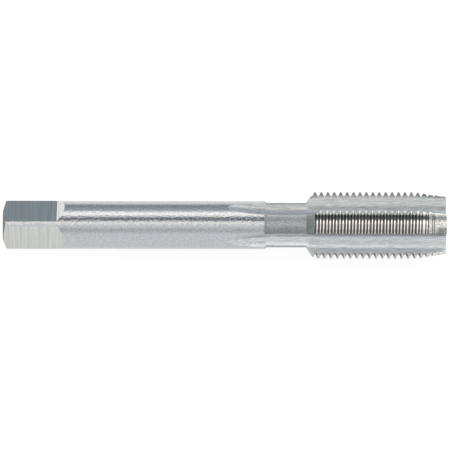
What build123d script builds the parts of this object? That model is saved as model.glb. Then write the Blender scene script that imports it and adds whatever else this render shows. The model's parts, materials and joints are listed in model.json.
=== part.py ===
"""Left-hand hand tap with a square-ended shank, four straight flutes and a taper lead.

The tap is one piece of ground tool steel. It is built standing on its shank end, with its axis
along +Z and Z measured from that end, and is then laid down as it rests on a bench: on the shank
just past the square, and on two edges of its thread either side of a flute. Lengths are in
millimetres and angles in degrees.
"""

from build123d import *
import os
from math import acos, atan, cos, hypot, radians, sin, sqrt, tan

# Overall
overall_length = 62.44
shank_diameter = 6.8

# Driving square on the shank's end
square_across_flats = 5.25
square_length = 7.6
square_runout_angle = 34.7
square_foot_radius = 0.5
square_turn = 2.55
shank_end_land_diameter = 4.3
shank_end_chamfer_length = 0.42
shank_end_edge_radius = 0.12

# Neck between the shank and the thread
neck_diameter = 6.3
neck_step_length = 0.3
neck_length = 5.6
back_cone_angle = 56.0

# Thread: 28 to the inch, cut left-handed and undersize, as on the first tap of a set
threads_per_inch = 28
thread_major_diameter = 9.46
thread_depth = 0.6
thread_form_angle = 55.0
thread_crest_flat = 0.13
cutting_length = 19.69
lead_length = 4.54
lead_tip_diameter = 8.13
crest_setback = 0.385

# Flutes, each ground by the rim of one wheel that leaves through the shank
flute_count = 4
land_angle = 40.3
hook_angle = 10.75
heel_relief_angle = 15.0
flute_floor_radius = 1.6
flute_length = 30.79
wheel_radius = 36.0

# Centre holes that carried the blank while it was ground
centre_mouth_diameter = 2.6
centre_pilot_diameter = 1.2
centre_depth = 2.6
centre_angle = 60.0

# How far each cutter stands clear of what it cuts
cutter_margin = 0.8

shank_radius = shank_diameter / 2
neck_radius = neck_diameter / 2
crest_radius = thread_major_diameter / 2
root_radius = crest_radius - thread_depth
lead_tip_radius = lead_tip_diameter / 2
back_cone_start = overall_length - cutting_length
back_cone_end = back_cone_start + (crest_radius - neck_radius) / tan(radians(back_cone_angle))
neck_start = back_cone_start - neck_length

# The blank, turned and ground between centres
with BuildPart() as blank:
    with BuildSketch(Plane.XZ) as blank_section:
        with BuildLine():
            Polyline(
                (0, 0),
                (shank_end_land_diameter / 2, 0),
                (shank_radius, shank_end_chamfer_length),
                (shank_radius, neck_start - neck_step_length),
                (neck_radius, neck_start),
                (neck_radius, back_cone_start),
                (crest_radius, back_cone_end),
                (crest_radius, overall_length - lead_length),
                (lead_tip_radius, overall_length),
                (0, overall_length),
                close=True,
            )
        make_face()
        end_corner = blank_section.vertices().sort_by_distance((shank_radius, shank_end_chamfer_length))[0]
        fillet(end_corner, radius=shank_end_edge_radius)
    revolve(axis=Axis.Z)

# One turn of the thread's groove; its ends lie in a flute, so stacked turns join where nothing is left
pitch = 25.4 / threads_per_inch
half_form = radians(thread_form_angle / 2)
groove_rim_radius = crest_radius + thread_crest_flat / 4
groove_rim_half_width = (pitch - thread_crest_flat) / 2 + (groove_rim_radius - crest_radius) * tan(half_form)
groove_root_half_width = groove_rim_half_width - (groove_rim_radius - root_radius) * tan(half_form)
groove_turns = int(cutting_length / pitch) + 3
groove_start = overall_length - crest_setback - (groove_turns - 1.5) * pitch

with BuildPart() as groove_turn:
    with BuildLine() as groove_path:
        Helix(
            pitch=pitch,
            height=pitch,
            radius=root_radius,
            center=(0, 0, groove_start),
            lefthand=True,
        )
    with BuildSketch(Plane.XZ) as groove_section:
        with BuildLine():
            Polyline(
                (root_radius, groove_start - groove_root_half_width),
                (groove_rim_radius, groove_start - groove_rim_half_width),
                (groove_rim_radius, groove_start + groove_rim_half_width),
                (root_radius, groove_start + groove_root_half_width),
                close=True,
            )
        make_face()
    sweep(path=groove_path.line, is_frenet=True)

# One flute: a hooked cutting face, a round floor and a heel that leans open
flute_half_angle = (360 / flute_count - land_angle) / 2
cutting_face_angle = radians(flute_half_angle - hook_angle)
heel_face_angle = radians(flute_half_angle + heel_relief_angle)
edge_x = crest_radius * cos(radians(flute_half_angle))
edge_y = crest_radius * sin(radians(flute_half_angle))
cutting_face = Axis((edge_x, edge_y, 0), (cos(cutting_face_angle), sin(cutting_face_angle), 0))
heel_face = Axis((edge_x, -edge_y, 0), (cos(heel_face_angle), -sin(heel_face_angle), 0))
flute_apex = cutting_face.intersect(heel_face)
flute_opening = (cutting_face_angle + heel_face_angle) / 2
flute_lean = (cutting_face_angle - heel_face_angle) / 2
floor_centre_reach = flute_floor_radius / sin(flute_opening)
floor_centre_x = flute_apex.X + floor_centre_reach * cos(flute_lean)
floor_centre_y = flute_apex.Y + floor_centre_reach * sin(flute_lean)
core_radius = hypot(floor_centre_x, floor_centre_y) - flute_floor_radius

flute_mouth_x = crest_radius + cutter_margin
mouth_cutting_y = edge_y + (flute_mouth_x - edge_x) * tan(cutting_face_angle)
mouth_heel_y = -edge_y - (flute_mouth_x - edge_x) * tan(heel_face_angle)

flute_depth_at_shank = shank_radius - core_radius
runout_length = sqrt(2 * wheel_radius * flute_depth_at_shank - flute_depth_at_shank**2)
full_depth_height = overall_length - flute_length + runout_length
wheel_exit_angle = acos(1 - (shank_radius + cutter_margin - core_radius) / wheel_radius)

with BuildPart() as flute:
    with BuildLine(Plane.XZ) as wheel_path:
        full_depth = Line((core_radius, overall_length + cutter_margin), (core_radius, full_depth_height))
        TangentArc(
            full_depth @ 1,
            (
                core_radius + wheel_radius * (1 - cos(wheel_exit_angle)),
                full_depth_height - wheel_radius * sin(wheel_exit_angle),
            ),
            tangent=full_depth % 1,
        )
    with BuildSketch(Plane.XY.offset(overall_length + cutter_margin)) as flute_section:
        with BuildLine():
            Polyline(
                (flute_apex.X, flute_apex.Y),
                (flute_mouth_x, mouth_cutting_y),
                (flute_mouth_x, mouth_heel_y),
                close=True,
            )
        make_face()
        floor_corner = flute_section.vertices().sort_by(Axis.X)[0]
        fillet(floor_corner, radius=flute_floor_radius)
    sweep(path=wheel_path.line)


# One flat of the driving square, with the slope where its wheel leaves the shank
flat_distance = square_across_flats / 2
flat_cutter_reach = shank_radius + cutter_margin
runout_top = square_length + (flat_cutter_reach - flat_distance) / tan(radians(square_runout_angle))

with BuildPart() as square_flat:
    with BuildSketch(Plane.XZ) as flat_section:
        with BuildLine():
            Polyline(
                (flat_distance, -cutter_margin),
                (flat_distance, square_length),
                (flat_cutter_reach, runout_top),
                (flat_cutter_reach, -cutter_margin),
                close=True,
            )
        make_face()
        foot = flat_section.vertices().sort_by_distance((flat_distance, square_length))[0]
        fillet(foot, radius=square_foot_radius)
    extrude(amount=shank_radius + cutter_margin, both=True)

# The whole tap, standing on its shank end
with BuildPart() as standing_tap:
    add(blank.part)
    with Locations(*[(0, 0, turn * pitch) for turn in range(groove_turns)]):
        add(groove_turn.part, mode=Mode.SUBTRACT)
    with PolarLocations(0, flute_count):
        add(flute.part, mode=Mode.SUBTRACT)
    with PolarLocations(0, 4, start_angle=square_turn):
        add(square_flat.part, mode=Mode.SUBTRACT)
    with Locations(Plane.XY.offset(overall_length), Plane.XY.rotated((180, 0, 0))):
        CounterSinkHole(
            radius=centre_pilot_diameter / 2,
            counter_sink_radius=centre_mouth_diameter / 2,
            depth=centre_depth,
            counter_sink_angle=centre_angle,
        )

# Laid down: the axis rises towards the tip, from the shank's first full circle past the square
# up to the land edges of the first full thread
shank_contact = square_length + (shank_radius - flat_distance) / tan(radians(square_runout_angle))
thread_contact = back_cone_end + pitch / 2
tilt = atan((edge_x - shank_radius) / (thread_contact - shank_contact))
along = Vector(cos(tilt), 0, sin(tilt))
upright = Vector(-sin(tilt), 0, cos(tilt))
shank_end_centre = Vector(
    -overall_length * cos(tilt) / 2,
    0,
    shank_radius * cos(tilt) - shank_contact * sin(tilt),
)

with BuildPart(Plane(origin=shank_end_centre, x_dir=upright, z_dir=along)) as thread_tap:
    add(standing_tap.part)

os.makedirs("parts", exist_ok=True)
thread_tap.part.label = "thread_tap"
export_step(thread_tap.part, "parts/thread_tap.step")
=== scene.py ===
"""Thread tap: the visual model of a left-hand hand tap, and the studio that it lies in."""
import json
from math import acos, atan2, cos, hypot, pi, radians, sin, sqrt, tan

import bmesh
import bpy
from bpy.props import FloatProperty, FloatVectorProperty, IntProperty, PointerProperty
from mathutils import Matrix, Vector


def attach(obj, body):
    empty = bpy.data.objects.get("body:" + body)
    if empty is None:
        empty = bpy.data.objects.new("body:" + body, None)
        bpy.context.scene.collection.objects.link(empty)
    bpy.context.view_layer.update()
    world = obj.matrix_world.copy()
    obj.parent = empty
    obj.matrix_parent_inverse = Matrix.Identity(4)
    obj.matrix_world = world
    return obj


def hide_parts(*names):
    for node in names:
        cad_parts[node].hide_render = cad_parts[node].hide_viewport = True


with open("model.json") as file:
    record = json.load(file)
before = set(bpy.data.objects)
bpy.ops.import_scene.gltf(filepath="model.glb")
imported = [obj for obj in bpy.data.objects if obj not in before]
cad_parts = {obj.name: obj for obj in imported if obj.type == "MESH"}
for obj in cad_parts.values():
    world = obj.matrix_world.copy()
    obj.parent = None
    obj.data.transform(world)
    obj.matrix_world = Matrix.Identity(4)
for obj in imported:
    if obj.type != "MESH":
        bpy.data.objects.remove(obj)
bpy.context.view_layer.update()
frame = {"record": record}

bl_info = {
    "name": "Thread Tap",
    "version": (1, 0, 0),
    "blender": (4, 5, 0),
    "location": "View3D > Sidebar > Thread Tap",
    "description": "Builds a ground steel hand tap and the studio that it lies in",
    "category": "Object",
}

MM_PER_M = 1000

# Places that the frame gives: the tap's own axis, its length and its drive
MOUNTS = {mount["name"]: mount for mount in frame["record"]["mounts"]}
SHANK_END = Vector(MOUNTS["centre_shank_end"]["pos_m"])
TIP = Vector(MOUNTS["centre_tip"]["pos_m"])
AXIS = (TIP - SHANK_END).normalized()
UPRIGHT = (Vector((0, 0, 1)) - AXIS * AXIS.z).normalized()
FRONT = AXIS.cross(UPRIGHT)
TOP_FLAT = Vector(MOUNTS["square_flat_up"]["pos_m"]) - SHANK_END
TOP_FLAT_NORMAL = Vector(MOUNTS["square_flat_up"]["axis"])

OVERALL_LENGTH = (TIP - SHANK_END).length
SHANK_RADIUS = MOUNTS["shank"]["dims"]["r_mm"] / MM_PER_M
FLAT_DISTANCE = TOP_FLAT.dot(TOP_FLAT_NORMAL)
SQUARE_TURN = atan2(TOP_FLAT_NORMAL.dot(FRONT), TOP_FLAT_NORMAL.dot(UPRIGHT))

SECTORS = 4
QUARTER = 2 * pi / SECTORS
TINY = 1e-6

# How many rings each part of the tap gets along its axis
CHAMFER_RINGS = 12
EDGE_RINGS = 6
FLAT_RINGS = 24
FOOT_RINGS = 8
SLOPE_RINGS = 14
PLAIN_RINGS = 12
FADE_RINGS = 56
NECK_RINGS = 10
PITCH_RINGS = 30

# The least distance from one ring to a step of the blank, and to a corner of a tooth
STEP_GAP = 0.00008
CORNER_GAP = 0.000012
# How far a flute's even columns stay below its borders, and below the tip's radius in the thread
BORDER_CLEARANCE = 0.00002
THREAD_CLEARANCE = 0.00009
# In pitches: the thread's rings start this far before the back cone, the close ones end this far
# past it, and the cone's finish ends this far before those
CONE_LEAD_IN = 1.2
CLOSE_RINGS_PAST = 0.9
CONE_FINISH_SHORT = 0.7
# The last tooth, counted from the first crest towards the tip
LAST_TOOTH = 2
# Passes that find where a flute crosses a circle, and where it comes out on the thread
HALVINGS = 45
BORDER_PASSES = 4


def length(name, description, default):
    """A length in metres, shown to the hundredth of a millimetre."""
    return FloatProperty(
        name=name, description=description, default=default, min=0, precision=5, unit="LENGTH"
    )


def angle(name, description, default):
    """An angle, given in degrees and kept in radians."""
    return FloatProperty(
        name=name, description=description, default=radians(default), subtype="ANGLE",
        unit="ROTATION",
    )


def share(name, description, default):
    """A share from nothing to all."""
    return FloatProperty(
        name=name, description=description, default=default, min=0, max=1, subtype="FACTOR"
    )


def colour(name, description, default):
    """A linear colour."""
    return FloatVectorProperty(
        name=name, description=description, default=default, subtype="COLOR", min=0, max=1, size=3
    )


class TapShape(bpy.types.PropertyGroup):
    """Sizes of the tap, along its axis from the shank end and across it."""

    end_land_radius: length("End land", "Radius of the flat on the shank's end", 0.00215)
    end_chamfer: length("End chamfer", "Length of the chamfer on the shank's end", 0.00042)
    end_edge_radius: length("End edge", "Rounding where the end chamfer meets the shank", 0.00012)
    square_length: length("Square length", "Length of the flats of the drive", 0.0076)
    square_foot_radius: length("Square foot", "Radius at the foot of each flat's run-out", 0.0005)
    square_runout: angle("Square run-out", "Slope where each flat runs out to the shank", 34.7)
    neck_radius: length("Neck radius", "Radius of the neck behind the thread", 0.00315)
    neck_step: length("Neck step", "Length of the step from the shank to the neck", 0.0003)
    neck_length: length("Neck length", "Length of the neck up to the thread's back cone", 0.0056)
    back_cone: angle("Back cone", "Slope of the cone behind the thread", 56)
    pitch: length("Pitch", "Advance of the thread in one turn", 0.0254 / 28)
    crest_radius: length("Crest radius", "Outer radius of the thread", 0.00473)
    thread_depth: length("Thread depth", "Height of the teeth", 0.0006)
    crest_flat: length("Crest flat", "Width of the flat on the teeth", 0.00013)
    thread_form: angle("Thread form", "Angle between the flanks of the thread", 55)
    cutting_length: length("Cutting length", "Length from the neck to the tip", 0.01969)
    lead_length: length("Lead length", "Length of the taper at the tip", 0.00454)
    tip_radius: length("Tip radius", "Radius of the taper at the tip", 0.004065)
    crest_setback: length("Crest setback", "From the tip back to the first crest, on top", 0.000385)
    land: angle("Land", "Width of each land at the crests", 40.3)
    hook: angle("Hook", "How far the cutting face leans under the cutting edge", 10.75)
    heel_relief: angle("Heel relief", "How far the heel of each land leans open", 15)
    flute_floor_radius: length("Flute floor", "Radius of the floor of the flutes", 0.0016)
    flute_length: length("Flute length", "From the tip back to where the flutes fade out", 0.03079)
    wheel_radius: length("Wheel radius", "Radius of the wheel that ground the flutes", 0.036)
    centre_mouth_radius: length("Centre mouth", "Radius of the centre holes at the face", 0.0013)
    centre_pilot_radius: length("Centre pilot", "Radius of the centre holes' pilots", 0.0006)
    centre_depth: length("Centre depth", "Depth of the centre holes", 0.0026)
    centre_form: angle("Centre form", "Angle of the centre holes' cones", 60)
    edge_strip: length("Edge strip", "Width of the honed strip along each cutting edge", 0.00015)
    edge_drop: length("Edge drop", "How far the honed strip falls to the cutting edge", 0.000015)
    worn_length: length("Worn length", "Length of the dull taper next to the tip", 0.0026)
    # Painted shade: how much darker the teeth's heels, the root by each cutting edge, the taper's
    # and the neck's heel sides are drawn
    painted_heel_shade: share("Heel painted_shading", "How much darker the heels of the teeth are", 0.88)
    painted_root_shade: share("Corner painted_shading", "How much darker the thread's root is by an edge", 0.62)
    painted_taper_shade: share("Taper painted_shading", "How much darker the worn taper is by a heel", 0.42)
    painted_neck_shade: share("Neck painted_shading", "How much darker the neck is behind each land", 0.42)
    # Length over which each flute's painted shade and painted light fade in from the flute's start
    painted_flute_shade_length: length("Fade length", "Length over which a flute's dull floor starts", 0.004)
    land_columns: IntProperty(
        name="Land columns", description="Steps round each land", default=24, min=4
    )
    hollow_columns: IntProperty(
        name="Hollow columns", description="Steps across each flute or flat", default=26, min=4
    )


class Flute:
    """The section of a flute about +X: a heel line, a round floor and a hooked cutting line."""

    def __init__(self, shape):
        half = (QUARTER - shape.land) / 2
        self.cutting_angle = half - shape.hook
        self.heel_angle = half + shape.heel_relief
        edge_x = shape.crest_radius * cos(half)
        edge_y = shape.crest_radius * sin(half)
        self.floor_radius = shape.flute_floor_radius
        rise, fall = tan(self.cutting_angle), tan(self.heel_angle)
        apex_x = edge_x - 2 * edge_y / (rise + fall)
        apex_y = edge_y - (edge_x - apex_x) * rise
        reach = self.floor_radius / sin((self.cutting_angle + self.heel_angle) / 2)
        lean = (self.cutting_angle - self.heel_angle) / 2
        self.centre = Vector((apex_x + reach * cos(lean), apex_y + reach * sin(lean)))
        self.core_radius = self.centre.length - self.floor_radius
        self.start = radians(270) - self.heel_angle
        self.sweep = self.start - radians(90) - self.cutting_angle
        self.floor_length = self.sweep * self.floor_radius
        self.longest = 3 * shape.crest_radius

    def point(self, run, lift):
        """The section's point at a distance run from where the heel meets the floor."""
        if run < 0:
            turn = self.start
            extra = Vector((cos(self.heel_angle), -sin(self.heel_angle))) * -run
        elif run > self.floor_length:
            turn = self.start - self.sweep
            past = run - self.floor_length
            extra = Vector((cos(self.cutting_angle), sin(self.cutting_angle))) * past
        else:
            turn = self.start - run / self.floor_radius
            extra = Vector((0, 0))
        on_floor = Vector((cos(turn), sin(turn))) * self.floor_radius
        return self.centre + on_floor + extra + Vector((lift, 0))

    def deepest(self, lift):
        """Where the section comes nearest to the tap's axis."""
        towards_axis = pi + atan2(self.centre.y, self.centre.x + lift)
        return (self.start - towards_axis) * self.floor_radius

    def meets(self, radius, lift, cutting_side):
        """Where the section crosses a circle about the tap's axis, on one side of its floor."""
        near = self.deepest(lift)
        far = self.longest if cutting_side else -self.longest
        for _ in range(HALVINGS):
            middle = (near + far) / 2
            if self.point(middle, lift).length < radius:
                near = middle
            else:
                far = middle
        return (near + far) / 2


class Blank:
    """The tap before its thread, flutes and flats: a radius for each height along the axis."""

    def __init__(self, shape):
        self.neck_end = OVERALL_LENGTH - shape.cutting_length
        self.neck_start = self.neck_end - shape.neck_length
        self.step_start = self.neck_start - shape.neck_step
        self.cone_rise = tan(shape.back_cone)
        self.cone_end = self.neck_end + (shape.crest_radius - shape.neck_radius) / self.cone_rise
        self.lead_start = OVERALL_LENGTH - shape.lead_length
        self.lead_fall = (shape.crest_radius - shape.tip_radius) / shape.lead_length
        self.slope = atan2(SHANK_RADIUS - shape.end_land_radius, shape.end_chamfer)
        reach = shape.end_edge_radius * tan(self.slope / 2)
        self.chamfer_rise = tan(self.slope)
        self.edge_start = shape.end_chamfer - reach * cos(self.slope)
        self.edge_end = shape.end_chamfer + reach
        self.shape = shape

    def radius(self, height):
        """The blank's radius at a height along the axis."""
        shape = self.shape
        if height < self.edge_start:
            return shape.end_land_radius + height * self.chamfer_rise
        if height < self.edge_end:
            back = self.edge_end - height
            rounding = shape.end_edge_radius
            return SHANK_RADIUS - rounding + sqrt(rounding ** 2 - back ** 2)
        if height <= self.step_start:
            return SHANK_RADIUS
        if height < self.neck_start:
            part = (height - self.step_start) / shape.neck_step
            return SHANK_RADIUS + (shape.neck_radius - SHANK_RADIUS) * part
        if height <= self.neck_end:
            return shape.neck_radius
        if height < self.cone_end:
            return shape.neck_radius + (height - self.neck_end) * self.cone_rise
        if height <= self.lead_start:
            return shape.crest_radius
        return shape.crest_radius - (height - self.lead_start) * self.lead_fall


class Thread:
    """The left-hand thread's outline, cut into the blank."""

    def __init__(self, shape, blank):
        self.blank = blank
        self.pitch = shape.pitch
        self.crest_radius = shape.crest_radius
        self.root_radius = shape.crest_radius - shape.thread_depth
        self.spread = tan(shape.thread_form / 2)
        self.half_crest = shape.crest_flat / 2
        self.half_tooth = self.half_crest + shape.thread_depth * self.spread
        self.first_crest = OVERALL_LENGTH - shape.crest_setback

    def crest(self, turn):
        """Height of the first crest at an angle from the top."""
        return self.first_crest - self.pitch * turn / (2 * pi)

    def radius(self, height, turn):
        """The threaded radius at a height and an angle from the top."""
        offset = (height - self.crest(turn)) / self.pitch
        away = abs(offset - round(offset)) * self.pitch - self.half_crest
        tooth = max(self.root_radius, self.crest_radius - max(0, away) / self.spread)
        return min(tooth, self.blank.radius(height))

    def flank_end(self, crest, side):
        """Height where one flank of a tooth comes out on the lead's taper."""
        corner = crest + side * self.half_crest
        blank = self.blank
        if corner <= blank.lead_start:
            return corner
        steep = side / self.spread
        start = (corner * steep - blank.lead_start * blank.lead_fall) / (steep - blank.lead_fall)
        inside = blank.radius(start) > self.root_radius
        return start if inside else corner


class Skin:
    """Rings of points from the shank end to the tip, and the faces between them."""

    def __init__(self, shape):
        self.shape = shape
        self.blank = Blank(shape)
        self.thread = Thread(shape, self.blank)
        self.flute = Flute(shape)
        self.lands = shape.land_columns
        self.hollows = shape.hollow_columns
        self.sector_columns = self.hollows + self.lands
        self.rings = []
        depth = SHANK_RADIUS - self.flute.core_radius
        wheel = shape.wheel_radius
        self.fade_start = OVERALL_LENGTH - shape.flute_length
        self.full_depth = self.fade_start + sqrt(2 * wheel * depth - depth ** 2)
        meeting = self.flute.point(self.flute.deepest(depth), depth)
        self.fade_turn = atan2(meeting.y, meeting.x)

    def lift(self, height):
        """How far out the grinding wheel has moved at a height along the axis."""
        if height >= self.full_depth:
            return 0
        wheel = self.shape.wheel_radius
        return wheel - sqrt(wheel ** 2 - (self.full_depth - height) ** 2)

    def add_ring(self, zone, hollow, land):
        """Keep a ring, from functions that give (height, x, y) in each hollow and on each land."""
        ring = []
        for sector in range(SECTORS):
            ring += hollow(sector)
            ring += land(sector)[1:-1]
        self.rings.append((zone, ring))

    def level_ring(self, zone, height, radius, half_angle, middle, chord=None):
        """A flat ring whose hollows are chords or nothing, each about its middle angle."""

        def hollow(sector):
            points = []
            for step in range(self.hollows + 1):
                part = 2 * step / self.hollows - 1
                if chord is None or half_angle == 0:
                    turn, reach = middle + part * half_angle, radius
                else:
                    across = part * chord * tan(half_angle)
                    turn, reach = middle + atan2(across, chord), hypot(chord, across)
                turn += sector * QUARTER
                points.append((height, reach * cos(turn), reach * sin(turn)))
            return points

        def land(sector):
            start = middle + half_angle + sector * QUARTER
            end = middle - half_angle + (sector + 1) * QUARTER
            return self.arc(start, end, lambda turn: (height, radius))

        self.add_ring(zone, hollow, land)

    def arc(self, start, end, outline, steps=None):
        """Points over a land, from one angle to another."""
        points = []
        steps = steps or self.lands
        for step in range(steps + 1):
            turn = start + (end - start) * step / steps
            height, radius = outline(turn)
            points.append((height, radius * cos(turn), radius * sin(turn)))
        return points

    def border(self, sector, cutting_side, outline, honed=False):
        """Where a flute's wall comes out on a land: its run, height, radius and angle."""
        half = (QUARTER - self.shape.land) / 2
        turn = sector * QUARTER + (half if cutting_side else -half)
        for _ in range(BORDER_PASSES):
            height, radius = outline(turn)
            if honed:
                radius -= self.shape.edge_drop
            lift = self.lift(height)
            run = self.flute.meets(radius, lift, cutting_side)
            spot = self.flute.point(run, lift)
            turn = sector * QUARTER + atan2(spot.y, spot.x)
        return run, height, radius, turn

    def fluted_ring(self, zone, outline, inner_limit, honed=False):
        """A ring with four flutes; outline gives (height, radius) for a land and an angle."""
        starts, ends = [], []
        for sector in range(SECTORS):
            before = (sector - 1) % SECTORS
            shift = 2 * pi if sector == 0 else 0
            ends.append(self.border(sector, False, lambda turn: outline(before, turn + shift)))
            starts.append(self.border(sector, True, lambda turn: outline(sector, turn), honed))

        def hollow(sector):
            heel_run, heel_height, heel_radius, _ = ends[sector]
            edge_run, edge_height, edge_radius, _ = starts[sector]
            lift = self.lift(min(heel_height, edge_height))
            inner_low, inner_high = heel_run, edge_run
            if inner_limit:
                near_heel = min(heel_radius - BORDER_CLEARANCE, inner_limit)
                near_edge = min(edge_radius - BORDER_CLEARANCE, inner_limit)
                inner_low = self.flute.meets(near_heel, lift, False)
                inner_high = self.flute.meets(near_edge, lift, True)
            inside = self.hollows - 2
            width = inner_high - inner_low
            runs = [inner_low + width * step / inside for step in range(inside + 1)]
            points = []
            turned = Matrix.Rotation(sector * QUARTER, 2)
            span = edge_run - heel_run
            for run in (heel_run, *runs, edge_run):
                part = (run - heel_run) / span if span > 0 else 0
                height = heel_height + (edge_height - heel_height) * part
                spot = turned @ self.flute.point(run, self.lift(height))
                points.append((height, spot.x, spot.y))
            return points

        def land(sector):
            following = (sector + 1) % SECTORS
            start = starts[sector][3]
            end = ends[following][3] + (2 * pi if following == 0 else 0)
            if not honed:
                return self.arc(start, end, lambda turn: outline(sector, turn))
            past_edge = start + self.shape.edge_strip / starts[sector][2]
            rest = self.arc(past_edge, end, lambda turn: outline(sector, turn), self.lands - 1)
            return [None] + rest

        self.add_ring(zone, hollow, land)

    def centre_hole(self):
        """The (depth, radius) of a centre hole's rings, from its bottom to its mouth."""
        pilot, mouth = self.shape.centre_pilot_radius, self.shape.centre_mouth_radius
        cone_depth = (mouth - pilot) / tan(self.shape.centre_form / 2)
        return (self.shape.centre_depth, pilot), (cone_depth, pilot), (0, mouth)

    def build_shank_end(self):
        """The centre hole, the end chamfer and its rounding, the square and the plain shank."""
        shape, blank = self.shape, self.blank
        for depth, radius in self.centre_hole():
            self.level_ring("centre", depth, radius, 0, SQUARE_TURN)
        half_way = (shape.centre_mouth_radius + shape.end_land_radius) / 2
        self.level_ring("face", 0, half_way, 0, SQUARE_TURN)
        self.level_ring("chamfer", 0, shape.end_land_radius, 0, SQUARE_TURN)

        edge_corner = acos(FLAT_DISTANCE / blank.radius(blank.edge_start))
        for step in range(CHAMFER_RINGS):
            radius = FLAT_DISTANCE / cos(edge_corner * step / CHAMFER_RINGS)
            height = (radius - shape.end_land_radius) / blank.chamfer_rise
            self.square_ring("chamfer", height, FLAT_DISTANCE)
        # The first two thirds of the rounding have the chamfer's finish
        for step in range(EDGE_RINGS + 1):
            turn = blank.slope * (1 - step / EDGE_RINGS)
            height = blank.edge_end - shape.end_edge_radius * sin(turn)
            zone = "chamfer" if step < EDGE_RINGS * 2 / 3 else "square"
            self.square_ring(zone, height, FLAT_DISTANCE)
        slope_end = self.build_flats()

        for step in range(1, PLAIN_RINGS + 1):
            part = step / PLAIN_RINGS
            turned = SQUARE_TURN + (self.fade_turn - SQUARE_TURN) * part
            height = slope_end + (self.fade_start - slope_end) * part
            self.level_ring("shank", height, SHANK_RADIUS, 0, turned)

    def build_flats(self):
        """The flats of the square, each with a round foot and a slope; returns where it ends."""
        shape, blank = self.shape, self.blank
        reach = shape.square_foot_radius * tan(shape.square_runout / 2)
        foot_start = shape.square_length - reach
        for step in range(1, FLAT_RINGS):
            height = blank.edge_end + (foot_start - blank.edge_end) * step / FLAT_RINGS
            self.square_ring("square", height, FLAT_DISTANCE)
        for step in range(FOOT_RINGS + 1):
            turn = shape.square_runout * step / FOOT_RINGS
            foot_end = foot_start + shape.square_foot_radius * sin(turn)
            distance = FLAT_DISTANCE + shape.square_foot_radius * (1 - cos(turn))
            self.square_ring("square", foot_end, distance)
        slope_corner = acos(distance / SHANK_RADIUS)
        for step in range(1, SLOPE_RINGS + 1):
            chord = SHANK_RADIUS * cos(slope_corner * (1 - step / SLOPE_RINGS))
            height = foot_end + (chord - distance) / tan(shape.square_runout)
            self.square_ring("square" if step < SLOPE_RINGS else "shank", height, chord)
        return height

    def square_ring(self, zone, height, distance):
        """One ring of the square, whose flats lie at a distance from the axis."""
        radius = self.blank.radius(height)
        half_angle = acos(min(1, distance / radius))
        self.level_ring(zone, height, radius, half_angle, SQUARE_TURN, distance)

    def build_fluted_shank(self):
        """The shank and neck, where the flutes grow to their full depth."""
        blank = self.blank
        fade = self.full_depth - self.fade_start
        steps = (blank.step_start, blank.neck_start)
        heights = list(steps)
        for ring in range(1, FADE_RINGS + 1):
            height = self.fade_start + fade * (ring / FADE_RINGS) ** 2
            if all(abs(height - step) > STEP_GAP for step in steps):
                heights.append(height)
        rest = blank.neck_end - self.full_depth
        heights += [self.full_depth + rest * ring / NECK_RINGS for ring in range(1, NECK_RINGS + 1)]
        for height in sorted(heights):
            radius = blank.radius(height)
            zone = "shank" if height < blank.step_start - TINY else "neck"
            inner = self.shape.tip_radius if height >= self.full_depth else None
            self.fluted_ring(zone, lambda sector, turn: (height, radius), inner)

    def build_thread(self):
        """The thread, from its back cone to the tip."""
        thread, blank = self.thread, self.blank
        inner = self.shape.tip_radius - THREAD_CLEARANCE
        pitch = thread.pitch

        def line(offset, side=0):
            """A helix at an offset from the first crest, or the end of one flank of a tooth there.

            The last land is taken one pitch on, so that each ring closes on itself.
            """
            def outline(sector, turn):
                crest = thread.crest(turn) + (pitch if sector == SECTORS - 1 else 0)
                height = crest + offset
                if side:
                    height = thread.flank_end(height, side)
                height = min(max(height, blank.neck_end), OVERALL_LENGTH)
                return height, thread.radius(height, turn)
            return outline

        start = blank.neck_end - thread.first_crest - CONE_LEAD_IN * pitch
        fine_end = blank.cone_end - thread.first_crest + CLOSE_RINGS_PAST * pitch
        first_tooth = int(start / pitch) - 1
        rows = []
        for tooth in range(first_tooth, LAST_TOOTH + 1):
            crest = tooth * pitch
            corners = []
            for side in (-1, 1):
                root, top = crest + side * thread.half_tooth, crest + side * thread.half_crest
                corners += [root, top]
                rows += [(root, line(root)), (top, line(crest, side))]
            for step in range(PITCH_RINGS):
                offset = crest + pitch * step / PITCH_RINGS
                away = min(abs(offset - corner) for corner in corners)
                if start < offset < fine_end and away > CORNER_GAP:
                    rows.append((offset, line(offset)))
        rows = [row for row in rows if row[0] > start]
        for offset, outline in sorted(rows, key=lambda row: row[0]):
            zone = "cone" if offset < fine_end - CONE_FINISH_SHORT * pitch else "thread"
            self.fluted_ring(zone, outline, inner, True)
        tip = (OVERALL_LENGTH, self.shape.tip_radius)
        self.fluted_ring("tip", lambda sector, turn: tip, inner, True)

    def build_tip_centre(self):
        """The centre hole in the tip."""
        for depth, radius in reversed(self.centre_hole()):
            self.level_ring("centre", OVERALL_LENGTH - depth, radius, 0, 0)


FINISHES = ("shank", "flats", "neck", "flutes", "crests", "flanks", "edges", "taper", "ends")
# Each zone's finish on its lands and in the hollows between them
ZONE_FINISHES = {
    "centre": ("ends", "ends"), "face": ("ends", "ends"), "chamfer": ("ends", "flats"),
    "square": ("shank", "flats"), "shank": ("shank", "flutes"), "neck": ("neck", "flutes"),
    "cone": ("neck", "flutes"), "thread": ("thread", "flutes"), "tip": ("ends", "ends"),
}
# Zones whose hollows have no width, or no edges of their own
PLAIN_ZONES = ("centre", "face", "tip")
# Zones that take painted shade and painted light in their tone
PAINTED_SHADE_ZONES = ("shank", "neck", "cone", "thread")

# Steeper faces of the thread are flanks, and folds sharper than the crease are edges
FLANK_SLANT = 0.5
CREASE = radians(17)
# Hollows narrower than this have no edges, and points nearer than the weld become one
OPEN_WIDTH = 0.00001
WELD = 3e-7

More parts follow.
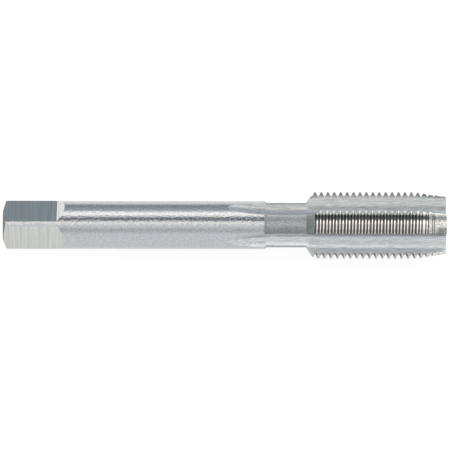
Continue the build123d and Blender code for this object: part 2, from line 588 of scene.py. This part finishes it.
# (place, tone) steps of painted shade and painted light across a flute from heel to cutting edge,
# and of painted shade in the thread's root over a land from that edge
FLUTE_PAINTED_SHADE_AND_LIGHT = ((0.25, 0.85), (0.36, 0.54), (0.40, 0.54), (0.47, 0.88), (0.74, 0.88), (0.84, 1.2))
ROOT_PAINTED_SHADE = ((0.045, 0.7), (0.075, 1), (0.15, 0.8), (0.2, 0))
# Places over a land: where the neck's painted shade starts, where the worn taper's painted
# shade on its heel side starts, and the last point
NECK_PAINTED_SHADE_START = 0.45
TAPER_PAINTED_SHADE_START = 0.7
LAST_ON_LAND = 0.99
# A heel's painted shade at the crest, how fast it falls towards the root, and how much of the
# worn length has painted shade on the taper's heel sides
HEEL_PAINTED_SHADE_CREST = 1.25
HEEL_PAINTED_SHADE_FALL = 1.15
TAPER_PAINTED_SHADE_SHARE = 0.6


def build_mesh(shape):
    """The tap's mesh, with its finishes, creases and the coordinates that its grinding follows."""
    skin = Skin(shape)
    skin.build_shank_end()
    skin.build_fluted_shank()
    skin.build_thread()
    tip_ring = len(skin.rings) - 1
    skin.build_tip_centre()

    mesh = bmesh.new()
    grid = add_points(mesh, skin)
    add_faces(mesh, skin, grid, tip_ring)
    part_borders(mesh, skin, grid)
    weld_and_close(mesh)
    for edge in mesh.edges:
        if len(edge.link_faces) == 2 and edge.calc_face_angle(0) > CREASE:
            edge.smooth = False
    data = bpy.data.meshes.new("hand_tap")
    mesh.to_mesh(data)
    mesh.free()
    return data


def add_points(mesh, skin):
    """The points of every ring, with their places in millimetres and their tones of painted shade
    and painted light.
    """
    grain = mesh.verts.layers.float_vector.new("grain")
    # Each point's tone is painted shade and painted light, which the finishes multiply in
    tone = mesh.verts.layers.float.new("tone")
    grid = []
    for zone, ring in skin.rings:
        row = []
        for column, (height, x, y) in enumerate(ring):
            vert = mesh.verts.new(SHANK_END + AXIS * height + UPRIGHT * x + FRONT * y)
            vert[grain] = (height * MM_PER_M, x * MM_PER_M, y * MM_PER_M)
            vert[tone] = painted_shade_and_light(skin, zone, column % skin.sector_columns, height, hypot(x, y))
            row.append(vert)
        grid.append(row)
    return grid


def add_faces(mesh, skin, grid, tip_ring):
    """The faces between the rings, each with its finish; the tip's own face is filled later."""
    grain = mesh.verts.layers.float_vector["grain"]
    for index, (low, high) in enumerate(zip(grid, grid[1:])):
        if index == tip_ring:
            continue
        zone = skin.rings[index][0]
        for column, vert in enumerate(low):
            following = (column + 1) % len(low)
            face = mesh.faces.new((vert, high[column], high[following], low[following]))
            face.smooth = True
            ends = vert[grain], high[column][grain]
            finish = face_finish(skin, zone, column % skin.sector_columns, *ends)
            face.material_index = FINISHES.index(finish)
    for row in (grid[0], list(reversed(grid[-1]))):
        mesh.faces.new(row).material_index = FINISHES.index("ends")


def face_finish(skin, zone, column, start, end):
    """The finish of a face, from its column in a sector and the places where its side runs."""
    # The honed strip by each cutting edge has a light colour, a painted highlight
    if zone == "thread" and column == skin.hollows:
        return "edges"
    finish = ZONE_FINISHES[zone][column < skin.hollows]
    if finish != "thread":
        return finish
    run = abs(end[0] - start[0])
    rise = hypot(end[1], end[2]) - hypot(start[1], start[2])
    # Steep faces take the flanks' dark colour, a painted shade
    if run > TINY and abs(rise / run) > FLANK_SLANT:
        return "flanks"
    worn = start[0] > (OVERALL_LENGTH - skin.shape.worn_length) * MM_PER_M
    return "taper" if worn else "crests"


def part_borders(mesh, skin, grid):
    """Make an edge of each border between a land and an open flute or flat."""
    for index, (low, high) in enumerate(zip(grid, grid[1:])):
        zone = skin.rings[index][0]
        if zone in PLAIN_ZONES:
            continue
        sides = (0, skin.hollows)
        if zone in ("cone", "thread"):
            sides += (skin.hollows + 1,)
        for sector in range(SECTORS):
            first = sector * skin.sector_columns
            for side in sides:
                opposite = first + (skin.hollows if side == 0 else 0)
                spans = [row[first + side].co - row[opposite].co for row in (low, high)]
                width = max(span.length for span in spans)
                edge = mesh.edges.get((low[first + side], high[first + side]))
                if edge and width > OPEN_WIDTH:
                    edge.smooth = False


def weld_and_close(mesh):
    """Join points that meet, drop faces of no size, and fill the face round the tip's centre."""
    bmesh.ops.remove_doubles(mesh, verts=mesh.verts, dist=WELD)
    bmesh.ops.dissolve_degenerate(mesh, dist=WELD, edges=mesh.edges)
    rims = [edge for edge in mesh.edges if edge.is_boundary]
    filled = bmesh.ops.triangle_fill(mesh, edges=rims, use_beauty=True)
    for item in filled["geom"]:
        if isinstance(item, bmesh.types.BMFace):
            item.material_index = FINISHES.index("ends")
    bmesh.ops.recalc_face_normals(mesh, faces=mesh.faces)


def blend(steps, place):
    """The value at a place between rising (place, value) steps."""
    for (low, first), (high, second) in zip(steps, steps[1:]):
        if place <= high:
            return first + (second - first) * max(0, place - low) / (high - low)
    return steps[-1][1]


def painted_shade_and_light(skin, zone, column, height, radius):
    """Painted shade and painted light in the steel's tone: painted shade on flute floors, at heels,
    in the teeth's roots and on the neck's and the taper's heel sides, and a painted highlight by
    each flute's cutting edge.
    """
    if zone not in PAINTED_SHADE_ZONES:
        return 1
    shape = skin.shape
    over_land = (column - skin.hollows) / skin.lands
    tone = 1
    # Painted shade and painted light across each flute, fading in from the flute's start
    if over_land <= 0:
        run_out = min(1, (height - skin.fade_start) / shape.painted_flute_shade_length)
        if run_out > 0:
            start = FLUTE_PAINTED_SHADE_AND_LIGHT[0][1]
            tone = start + run_out * (blend(FLUTE_PAINTED_SHADE_AND_LIGHT, column / skin.hollows) - start)
    # Painted shade on the neck, darker towards each land's heel side
    elif zone == "neck":
        part = max(0, over_land - NECK_PAINTED_SHADE_START) / (1 - NECK_PAINTED_SHADE_START)
        tone = 1 - shape.painted_neck_shade * part
    if zone in ("cone", "thread"):
        depth = (skin.blank.radius(height) - radius) / shape.thread_depth
        taper_painted_shade_from = OVERALL_LENGTH - TAPER_PAINTED_SHADE_SHARE * shape.worn_length
        # Painted shade at the heels of the teeth, darkest at the crest
        if column == 0 or over_land > LAST_ON_LAND:
            tone *= 1 - shape.painted_heel_shade * clamp(HEEL_PAINTED_SHADE_CREST - depth * HEEL_PAINTED_SHADE_FALL)
        # Painted shade in the thread's root by each cutting edge, deeper down darker
        elif zone == "thread" and 0 < over_land < ROOT_PAINTED_SHADE[-1][0]:
            tone *= 1 - shape.painted_root_shade * clamp(depth) * blend(ROOT_PAINTED_SHADE, over_land)
        # Painted shade on the heel side of each land near the tip
        elif over_land > TAPER_PAINTED_SHADE_START and height > taper_painted_shade_from:
            tone *= 1 - shape.painted_taper_shade
    return tone


def clamp(value):
    """A value held between 0 and 1."""
    return min(1, max(0, value))


def add_object(context, name, data):
    """A new object in the scene's own collection."""
    item = bpy.data.objects.new(name, data)
    context.scene.collection.objects.link(item)
    return item


def new_material(name):
    """A new material, its node tree and the surface socket of its output."""
    material = bpy.data.materials.new(name)
    material.use_nodes = True
    tree = material.node_tree
    tree.nodes.clear()
    return material, tree, tree.nodes.new("ShaderNodeOutputMaterial").inputs["Surface"]


def set_socket(tree, socket, value):
    """Give a socket a value, or a link from another socket."""
    if isinstance(value, bpy.types.NodeSocket):
        tree.links.new(value, socket)
    else:
        socket.default_value = value


def add_node(tree, kind, **inputs):
    """A node with values or links given by the names of its sockets."""
    node = tree.nodes.new("ShaderNode" + kind)
    for name, value in inputs.items():
        set_socket(tree, node.inputs[name.replace("_", " ")], value)
    return node


def add_math(tree, operation, first, second):
    """The result of a sum on two values or sockets."""
    node = tree.nodes.new("ShaderNodeMath")
    node.operation = operation
    for socket, value in zip(node.inputs, (first, second)):
        set_socket(tree, socket, value)
    return node.outputs["Value"]


def add_attribute(tree, name):
    """A node that reads one of the mesh's own attributes."""
    node = tree.nodes.new("ShaderNodeAttribute")
    node.attribute_name = name
    return node


def add_swing(tree, noise, amount):
    """A noise turned into a tone that swings about one by an amount."""
    node = add_node(
        tree, "MapRange", Value=noise.outputs["Fac"], From_Min=NOISE_LOW, From_Max=NOISE_HIGH,
        To_Min=1 - amount, To_Max=1 + amount,
    )
    return node.outputs["Result"]


class TapFinish(bpy.types.PropertyGroup):
    """Colour and roughness of each finish of the tap's steel."""

    shank_steel: colour("Shank", "Colour of the ground shank", (0.506, 0.522, 0.538))
    shank_roughness: share("Shank roughness", "How rough the ground shank is", 0.21)
    flats_steel: colour("Flats", "Colour of the square's flats", (0.54, 0.55, 0.54))
    flats_roughness: share("Flats roughness", "How rough the square's flats are", 0.17)
    neck_steel: colour("Neck", "Colour of the turned neck", (0.385, 0.40, 0.415))
    neck_roughness: share("Neck roughness", "How rough the turned neck is", 0.40)
    flutes_steel: colour("Flutes", "Colour of the flutes", (0.665, 0.68, 0.70))
    flutes_roughness: share("Flutes roughness", "How rough the flutes are", 0.40)
    # Painted highlight in the crests' and honed edges' light colours, painted shade in the flanks'
    # dark one
    crests_steel: colour("Crests", "Colour of the thread's crests", (0.86, 0.84, 0.81))
    crests_roughness: share("Crests roughness", "How rough the thread's crests are", 0.11)
    flanks_steel: colour("Flanks", "Colour of the thread's flanks", (0.49, 0.48, 0.47))
    flanks_roughness: share("Flanks roughness", "How rough the thread's flanks are", 0.20)
    edges_steel: colour("Edges", "Colour of the honed cutting edges", (0.95, 0.94, 0.92))
    edges_roughness: share("Edges roughness", "How rough the cutting edges are", 0.50)
    taper_steel: colour("Taper", "Colour of the worn taper", (0.64, 0.64, 0.63))
    taper_roughness: share("Taper roughness", "How rough the worn taper is", 0.27)
    # The ends' dark colour is their turned finish, and also painted shade on the end chamfer
    ends_steel: colour("Ends", "Colour of the end faces", (0.385, 0.40, 0.415))
    ends_roughness: share("Ends roughness", "How rough the end faces are", 0.32)


# How often the grinding lines change, per millimetre along the tap and across it
AROUND, ALONG, ANY_WAY = (8.0, 0.15, 0.15), (0.7, 8.5, 8.5), (6, 6, 6)
# The rest of each finish, by the names that steel_finish gives it
GRINDING = {
    "shank": dict(
        name="ground_shank", lines=(4.0, 0.3, 0.3), line_relief=0.5e-6, line_tone=0.02,
        grain_scale=3.9, grain_relief=30e-6, grain_tone=0.10,
        drawn_out=0.6, drawn_turn=0.25, metallic=0.9),
    "flats": dict(
        name="ground_flats", lines=AROUND, line_relief=22e-6, line_tone=0.14,
        grain_relief=1e-6, grain_tone=0.03, drawn_out=0.5, drawn_turn=0.25),
    "neck": dict(
        name="turned_neck", lines=ANY_WAY, line_tone=0.08,
        grain_scale=7.5, grain_relief=5e-6, grain_tone=0.42),
    "flutes": dict(
        name="ground_flutes", lines=ALONG, line_relief=1.5e-6, line_tone=0.24,
        grain_scale=6.0, grain_relief=3e-6, grain_tone=0.12, drawn_out=0.5),
    # Crests and honed edges: colours lit as painted highlight; flanks: colour darkened as painted
    # shade
    "crests": dict(name="ground_crests", lines=AROUND, line_tone=0.02, rim=0.5),
    "flanks": dict(name="ground_flanks", lines=AROUND, line_tone=0.05, rim=0.5),
    "edges": dict(name="honed_edges", lines=AROUND, line_tone=0.02, rim=0.8),
    "taper": dict(
        name="worn_taper", lines=AROUND, line_tone=0.08,
        grain_scale=4.0, grain_relief=14e-6, grain_tone=0.30),
    # The ends' dark colour also serves as painted shade on the end chamfer
    "ends": dict(
        name="turned_ends", lines=AROUND, line_relief=0.2e-6, line_tone=0.06, rim=0.3),
}
# The middle part of the noises, which becomes a tone
NOISE_LOW, NOISE_HIGH = 0.3, 0.7
LINE_DETAIL, GRAIN_DETAIL = 3.0, 2.0


def steel_finish(
        steel, roughness, name, lines, line_tone, line_relief=0.0, grain_scale=3.5,
        grain_relief=0.0, grain_tone=0.0, drawn_out=0.0, drawn_turn=0.0, rim=1.0, metallic=1.0):
    """Ground steel: lines that follow its grinding and an even grain, with tone and relief.

    The gloss can be drawn out across the lines, and the rim tints it where it is seen aslant.
    """
    material, tree, surface = new_material(name)
    place = add_attribute(tree, "grain").outputs["Vector"]
    stretched = add_node(tree, "VectorMath", Vector=place)
    stretched.operation = "MULTIPLY"
    stretched.inputs[1].default_value = lines
    ground = add_node(
        tree, "TexNoise", Vector=stretched.outputs["Vector"], Scale=1.0, Detail=LINE_DETAIL)
    grain = add_node(tree, "TexNoise", Vector=place, Scale=grain_scale, Detail=GRAIN_DETAIL)

    swings = add_math(
        tree, "MULTIPLY", add_swing(tree, ground, line_tone), add_swing(tree, grain, grain_tone))
    # The tone attribute multiplies in the painted shade and painted light of the mesh's points
    tone = add_math(tree, "MULTIPLY", swings, add_attribute(tree, "tone").outputs["Fac"])
    tinted = add_node(tree, "VectorMath", Vector=(*steel,))
    tinted.operation = "SCALE"
    tree.links.new(tone, tinted.inputs["Scale"])

    pitted = add_node(
        tree, "Bump", Height=grain.outputs["Fac"], Distance=grain_relief, Strength=1.0)
    relief = add_node(
        tree, "Bump", Height=ground.outputs["Fac"], Distance=line_relief, Strength=1.0,
        Normal=pitted.outputs["Normal"],
    )
    shader = add_node(
        tree, "BsdfPrincipled", Metallic=metallic, Roughness=roughness, Anisotropic=drawn_out,
        Anisotropic_Rotation=drawn_turn, Specular_Tint=(rim, rim, rim, 1),
        Base_Color=tinted.outputs["Vector"], Normal=relief.outputs["Normal"],
    )
    if drawn_out:
        tangent = tree.nodes.new("ShaderNodeTangent")
        tangent.direction_type = "RADIAL"
        tangent.axis = "X"
        tree.links.new(tangent.outputs["Tangent"], shader.inputs["Tangent"])
    tree.links.new(shader.outputs["BSDF"], surface)
    return material


class TAP_OT_build(bpy.types.Operator):
    """Build the tap's visual model and its ground steel"""

    bl_idname = "tap.build"
    bl_label = "Build tap"

    def execute(self, context):
        look = context.scene.tap_finish
        tap = add_object(context, "hand_tap", build_mesh(context.scene.tap_shape))
        for finish in FINISHES:
            steel = getattr(look, finish + "_steel")
            roughness = getattr(look, finish + "_roughness")
            tap.data.materials.append(steel_finish(steel, roughness, **GRINDING[finish]))
        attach(tap, "root")
        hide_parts("thread_tap")
        return {"FINISHED"}


class StudioSetup(bpy.types.PropertyGroup):
    """The camera's place and the light round the tap."""

    camera_turn: angle("Camera turn", "How far the camera stands above level, round the tap", 39.85)
    camera_distance: length("Camera distance", "From the tap's axis to the camera", 0.6173)
    camera_station: length("Camera station", "Height along the axis that the camera faces", 0.0313)
    camera_roll: angle("Camera roll", "Turn of the camera about its own line of sight", 0.08)
    camera_lift: length("Camera lift", "How far the camera aims above the tap's axis", 0.000008)
    camera_lens: FloatProperty(
        name="Camera lens", description="Focal length in millimetres", default=349.6, min=1
    )
    tent_radius: length("Tent radius", "Radius of the light tent over the tap", 1.0)
    tent_half_length: length("Tent half length", "Half the length of the light tent", 2.5)
    card_start: length("Card start", "From the tap to the near edge of the side card", 0.60)
    card_end: length("Card end", "From the tap to the far edge of the side card", 1.7)
    floor_colour: colour("Floor", "Colour of the floor", (0.24, 0.24, 0.24))
    floor_glow: share("Floor white", "How far the floor goes to white", 0.86)
    floor_half: length("Floor half", "Half the width of the floor", 3.0)


WHITE = (1, 1, 1, 1)
NEUTRAL = (1, 1, 1)
COOL = (0.85, 1.0, 1.11)
BLUE = (0.76, 1.0, 1.18)
WARM = (1.03, 1.0, 0.94)
# The strips of the light tent, from the floor in front over the tap to the floor behind it: where
# each starts and ends in degrees, how light it is at both, and its tint. They blend together.
STRIPS = (
    (0, 20, 0.87, 0.63, NEUTRAL),  # low card in front
    (27, 43, 1.02, 1.05, NEUTRAL),  # front wall
    (48, 55, 1.60, 1.64, WARM),  # low lamp
    (62, 74, 0.14, 0.16, BLUE),  # dark flag
    (86, 98, 1.45, 2.08, WARM),  # main lamp
    (112, 150, 0.62, 0.30, COOL),  # ceiling
    (159, 180, 1.00, 1.22, NEUTRAL),  # back wall
)
# The side card hangs just inside the tent, over the shank's side of its back half
CARD_DEGREES = range(120, 181, 10)
CARD_LIGHT = (1.38, 1.36, 1.32)
CARD_REACH = 0.97
TENT_BASE = 0.001
# The room's light on dull surfaces, and where it is seen or mirrored
ROOM_LIT, ROOM_SEEN = 0.8, 1.0
SENSOR_WIDTH = 36
NEAREST_SEEN, FARTHEST_SEEN = 0.01, 20


def room_light(context):
    """White all round where it is seen or mirrored, and a softer white for what it lights."""
    world = bpy.data.worlds.new("studio")
    context.scene.world = world
    world.use_nodes = True
    tree = world.node_tree
    tree.nodes.clear()
    output = tree.nodes.new("ShaderNodeOutputWorld")
    mix = add_node(tree, "MixShader", Fac=seen_or_mirrored(tree))
    for socket, strength in zip(list(mix.inputs)[1:], (ROOM_LIT, ROOM_SEEN)):
        light = add_node(tree, "Background", Color=WHITE, Strength=strength)
        tree.links.new(light.outputs["Background"], socket)
    tree.links.new(mix.outputs["Shader"], output.inputs["Surface"])


def seen_or_mirrored(tree):
    """One for rays from the camera or off or through a surface, and nothing for diffuse light."""
    rays = tree.nodes.new("ShaderNodeLightPath").outputs
    either = add_math(tree, "MAXIMUM", rays["Is Camera Ray"], rays["Is Glossy Ray"])
    return add_math(tree, "MAXIMUM", either, rays["Is Transmission Ray"])


def add_sheet(parts, rows, radius, near, far):
    """Add a sheet bent about the tap's line to a mesh's parts, from rows of (degree, light)."""
    corners, lights, faces = parts
    for index, (degree, light) in enumerate(rows):
        turn = radians(degree)
        first = len(corners)
        for along in (near, far):
            corners.append((along, -radius * cos(turn), radius * sin(turn) + TENT_BASE))
            lights.append((*light, 1))
        if index:
            faces.append((first - 2, first - 1, first + 1, first))


class TAP_OT_stage(bpy.types.Operator):
    """Set up the floor, the light and the camera"""

    bl_idname = "tap.stage"
    bl_label = "Set stage"

    def execute(self, context):
        setup = context.scene.tap_studio
        self.add_floor(context, setup)
        self.add_tent(context, setup)
        room_light(context)
        self.add_camera(context, setup)
        context.scene.view_settings.view_transform = "Standard"
        return {"FINISHED"}

    def add_floor(self, context, setup):
        """A floor that goes to white where it is seen or mirrored, and still takes a shadow."""
        half = setup.floor_half
        data = bpy.data.meshes.new("studio_floor")
        corners = [(-half, -half, 0), (half, -half, 0), (half, half, 0), (-half, half, 0)]
        data.from_pydata(corners, [], [(0, 1, 2, 3)])
        floor = add_object(context, "studio_floor", data)
        material, tree, surface = new_material("floor_paper")
        paper = add_node(tree, "BsdfDiffuse", Color=(*setup.floor_colour, 1))
        white = add_math(tree, "MULTIPLY", seen_or_mirrored(tree), setup.floor_glow)
        glow = add_node(tree, "Emission", Color=WHITE, Strength=white)
        mix = tree.nodes.new("ShaderNodeAddShader")
        tree.links.new(paper.outputs["BSDF"], mix.inputs[0])
        tree.links.new(glow.outputs["Emission"], mix.inputs[1])
        tree.links.new(mix.outputs["Shader"], surface)
        data.materials.append(material)

    def add_tent(self, context, setup):
        """A half-round tent over the tap, of soft strips of light along it, with a side card."""
        rows = []
        for start, end, first, last, tint in STRIPS:
            rows.append((start, [first * part for part in tint]))
            rows.append((end, [last * part for part in tint]))
        parts = corners, lights, faces = [], [], []
        half = setup.tent_half_length
        add_sheet(parts, rows, setup.tent_radius, -half, half)
        card = [(degree, CARD_LIGHT) for degree in CARD_DEGREES]
        add_sheet(parts, card, CARD_REACH * setup.tent_radius, -setup.card_end, -setup.card_start)

        data = bpy.data.meshes.new("light_tent")
        data.from_pydata(corners, [], faces)
        colours = data.color_attributes.new("light", "FLOAT_COLOR", "POINT")
        for point, light in zip(colours.data, lights):
            point.color = light
        tent = add_object(context, "light_tent", data)
        tent.visible_camera = False
        material, tree, surface = new_material("tent_light")
        light = add_attribute(tree, "light").outputs["Color"]
        glow = add_node(tree, "Emission", Color=light, Strength=1.0)
        tree.links.new(glow.outputs["Emission"], surface)
        data.materials.append(material)

    def add_camera(self, context, setup):
        """A long lens that looks at the tap square to its axis, from above level."""
        data = bpy.data.cameras.new("camera")
        camera = add_object(context, "camera", data)
        towards = FRONT * cos(setup.camera_turn) + UPRIGHT * sin(setup.camera_turn)
        target = SHANK_END + AXIS * setup.camera_station
        roll = Matrix.Rotation(setup.camera_roll, 3, towards)
        right, up = roll @ AXIS, roll @ towards.cross(AXIS)
        place = target + towards * setup.camera_distance + up * setup.camera_lift
        rows = [(right[i], up[i], towards[i], place[i]) for i in range(3)]
        camera.matrix_world = Matrix((*rows, (0, 0, 0, 1)))
        data.sensor_width = SENSOR_WIDTH
        data.lens = setup.camera_lens
        data.clip_start, data.clip_end = NEAREST_SEEN, FARTHEST_SEEN
        context.scene.camera = camera


class TAP_PT_panel(bpy.types.Panel):
    """The tap and its stage, in the 3D view's sidebar"""

    bl_idname = "TAP_PT_panel"
    bl_label = "Thread Tap"
    bl_space_type = "VIEW_3D"
    bl_region_type = "UI"
    bl_category = "Thread Tap"

    def draw(self, context):
        scene = context.scene
        for settings in (scene.tap_shape, scene.tap_finish, scene.tap_studio):
            for name in settings.__annotations__:
                self.layout.prop(settings, name)
        self.layout.operator(TAP_OT_build.bl_idname)
        self.layout.operator(TAP_OT_stage.bl_idname)


CLASSES = (TapShape, TapFinish, StudioSetup, TAP_OT_build, TAP_OT_stage, TAP_PT_panel)


def register():
    """Add the classes and the scene's settings."""
    for item in CLASSES:
        bpy.utils.register_class(item)
    bpy.types.Scene.tap_shape = PointerProperty(type=TapShape)
    bpy.types.Scene.tap_finish = PointerProperty(type=TapFinish)
    bpy.types.Scene.tap_studio = PointerProperty(type=StudioSetup)


def unregister():
    """Take away what register added."""
    del bpy.types.Scene.tap_studio
    del bpy.types.Scene.tap_finish
    del bpy.types.Scene.tap_shape
    for item in reversed(CLASSES):
        bpy.utils.unregister_class(item)


def main():
    """Build the tap and its stage."""
    register()
    bpy.ops.tap.build()
    bpy.ops.tap.stage()


if __name__ == "__main__":
    main()
